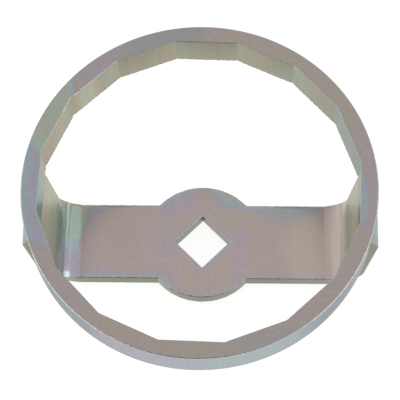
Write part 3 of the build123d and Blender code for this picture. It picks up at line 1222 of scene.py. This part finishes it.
room = bpy.data.worlds.new("pale studio")
bpy.context.scene.world = room
room.use_nodes = True
tree = room.node_tree
way = place(tree, "TexCoord").outputs["Generated"]
parts = place(tree, "SeparateXYZ", {0: way}).outputs
level = place(tree, "CombineXYZ", {"X": parts["X"], "Y": parts["Y"]}).outputs[0]
level = place(tree, "VectorMath", {0: level}, operation="NORMALIZE").outputs[0]
gap_middle = (np.cos(np.radians(GAP_AZIMUTH)), np.sin(np.radians(GAP_AZIMUTH)), 0.0)
ahead = place(tree, "VectorMath", {0: level, 1: gap_middle}, operation="DOT_PRODUCT").outputs["Value"]
wide = fade(tree, ahead, *np.cos(np.radians(WIDE_GAP)))
narrow = fade(tree, ahead, *np.cos(np.radians(NARROW_GAP)), 0.0, NARROW_SHARE)
high_up = fade(tree, parts["Z"], *GAP_WIDENS)
below_top = fade(tree, parts["Z"], *np.sin(np.radians(GAP_TOP)))
gap = calc(tree, "MULTIPLY", blend(tree, high_up, narrow, wide), below_top)
brightness = fade(tree, gap, 0.0, 1.0, ROOM_LIGHT, DARK_GAP)
print("room light", ROOM_LIGHT, "and in the gap", DARK_GAP)

# %% Side glow and shaded corner
GLOW_FROM, GLOW_FULL = 0.70, 0.90  # how far sideways, where 1 is straight to the side
GLOWS = (  # side, strength, and the heights over which it begins and ends
    (1, 0.65, (0.17, 0.29), (0.46, 0.70)),
    (-1, 0.55, (0.05, 0.20), (0.52, 0.70)),
)
CORNER_SHADE = 0.6  # how much darker the far right corner is at table height
CORNER_X, CORNER_Y, CORNER_Z = (0.84, 0.92), (0.1, 0.25), (0.10, 0.24)  # over which the shade begins and ends

sideways = place(tree, "SeparateXYZ", {0: level}).outputs["X"]
for side, strength, begins, ends in GLOWS:
    glow = fade(tree, sideways, side * GLOW_FROM, side * GLOW_FULL)
    glow = calc(tree, "MULTIPLY", glow, fade(tree, parts["Z"], *begins))
    glow = calc(tree, "MULTIPLY", glow, fade(tree, parts["Z"], *ends, 1.0, 0.0))
    brightness = calc(tree, "MULTIPLY_ADD", glow, strength, brightness)
corner = calc(tree, "MULTIPLY", fade(tree, parts["X"], *CORNER_X), fade(tree, parts["Y"], *CORNER_Y))
corner = calc(tree, "MULTIPLY", corner, fade(tree, parts["Z"], *CORNER_Z, 1.0, 0.0))
brightness = calc(tree, "MULTIPLY_ADD", corner, -CORNER_SHADE, brightness)
print("glows:", len(GLOWS))

# %% Backdrop
BACKDROP = screen(250, 250, 249)  # what the camera sees, whatever the metal mirrors
grey = place(tree, "CombineColor", {0: brightness, 1: brightness, 2: brightness}).outputs[0]
seen = place(tree, "LightPath").outputs["Is Camera Ray"]
shown = blend_colour(tree, seen, grey, BACKDROP)
tree.links.new(shown, tree.nodes["Background"].inputs["Color"])
print("room has", len(tree.nodes), "nodes")

# %% Side lights
SOFTBOX_WIDTH, SOFTBOX_HEIGHT, SOFTBOX_POWER = 0.7, 0.36, 1.1
SOFTBOX_DISTANCE, SOFTBOX_ELEVATION = 1.0, 12


def softbox(name, azimuth):
    """A soft light, aimed at the wrench. Azimuth is in degrees from +X towards +Y."""
    lamp = bpy.data.lights.new(name, "AREA")
    lamp.shape, lamp.energy = "RECTANGLE", SOFTBOX_POWER
    lamp.size, lamp.size_y = SOFTBOX_WIDTH, SOFTBOX_HEIGHT
    holder = bpy.data.objects.new(name, lamp)
    bpy.context.scene.collection.objects.link(holder)
    a, e = np.radians(azimuth), np.radians(SOFTBOX_ELEVATION)
    away = Vector((np.cos(a) * np.cos(e), np.sin(a) * np.cos(e), np.sin(e)))
    aimed = away.to_track_quat("Z", "Y").to_matrix().to_4x4()
    holder.matrix_world = Matrix.Translation(away * SOFTBOX_DISTANCE) @ aimed


softbox("right_softbox", -18)
softbox("left_softbox", 197)

# %% [markdown]
# ## The camera
#
# The photograph was taken from the front and high above, with a long lens, so the ring hardly narrows
# towards the back. The camera is set by what it looks at, from which direction and how far away. The small
# roll is there because the wrench lay slightly turned in the picture.

# %% Camera
AIM = Vector((-0.36, 4.99, 30.0)) * MM
AZIMUTH, ELEVATION, ROLL = 3.98, 68.22, 3.31  # degrees; azimuth to the right of straight in front
DISTANCE = 492.5 * MM
LENS, SENSOR = 138.54, 36.0

around, above = np.radians(AZIMUTH), np.radians(ELEVATION)
away = Vector((np.sin(around) * np.cos(above), -np.cos(around) * np.cos(above), np.sin(above)))
lens = bpy.data.cameras.new("camera")
lens.lens, lens.sensor_width = LENS, SENSOR
camera = bpy.data.objects.new("camera", lens)
bpy.context.scene.collection.objects.link(camera)
turned = away.to_track_quat("Z", "Y").to_matrix() @ Matrix.Rotation(-np.radians(ROLL), 3, "Z")
camera.matrix_world = Matrix.Translation(AIM + away * DISTANCE) @ turned.to_4x4()
bpy.context.scene.camera = camera
bpy.context.scene.view_settings.view_transform = "Standard"
print("camera right", [round(v, 4) for v in turned.col[0]], "up", [round(v, 4) for v in turned.col[1]])
